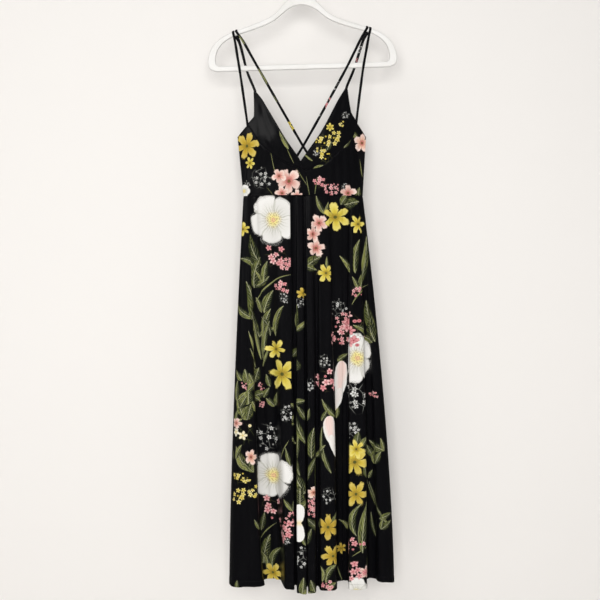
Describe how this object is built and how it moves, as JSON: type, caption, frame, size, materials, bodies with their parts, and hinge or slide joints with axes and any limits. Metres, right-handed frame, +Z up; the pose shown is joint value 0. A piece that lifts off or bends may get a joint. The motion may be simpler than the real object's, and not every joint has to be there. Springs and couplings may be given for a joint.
{
  "type": "sundress on a clothes hanger",
  "caption": "Long sundress with a wrapped V neck, crossed thin straps and a full floral satin skirt falling in soft folds, hung on a plain white clothes hanger.",
  "frame": {"origin": "inside top of the hanger's hook, where it rests on a rail or a peg", "axes": "+Z up, +X to the viewer's right with the front of the dress facing -Y, +Y towards the wall behind it"},
  "size_m": [0.4626, 0.1823, 1.5173],
  "materials": {
    "printed_satin": "black satin with a large flower print, soft sheen",
    "hanger_plastic": "white moulded plastic, softly glossy"
  },
  "bodies": {
    "root": {"cup_left": "printed_satin", "midriff_left": "printed_satin", "cup_right": "printed_satin", "midriff_right": "printed_satin", "bodice_back": "printed_satin", "skirt_front": "printed_satin", "skirt_back": "printed_satin", "strap_left_outer": "printed_satin", "strap_left_crossed": "printed_satin", "strap_right_outer": "printed_satin", "strap_right_crossed": "printed_satin", "hanger_frame": "hanger_plastic", "hanger_hook": "hanger_plastic"}
  },
  "joints": []
}
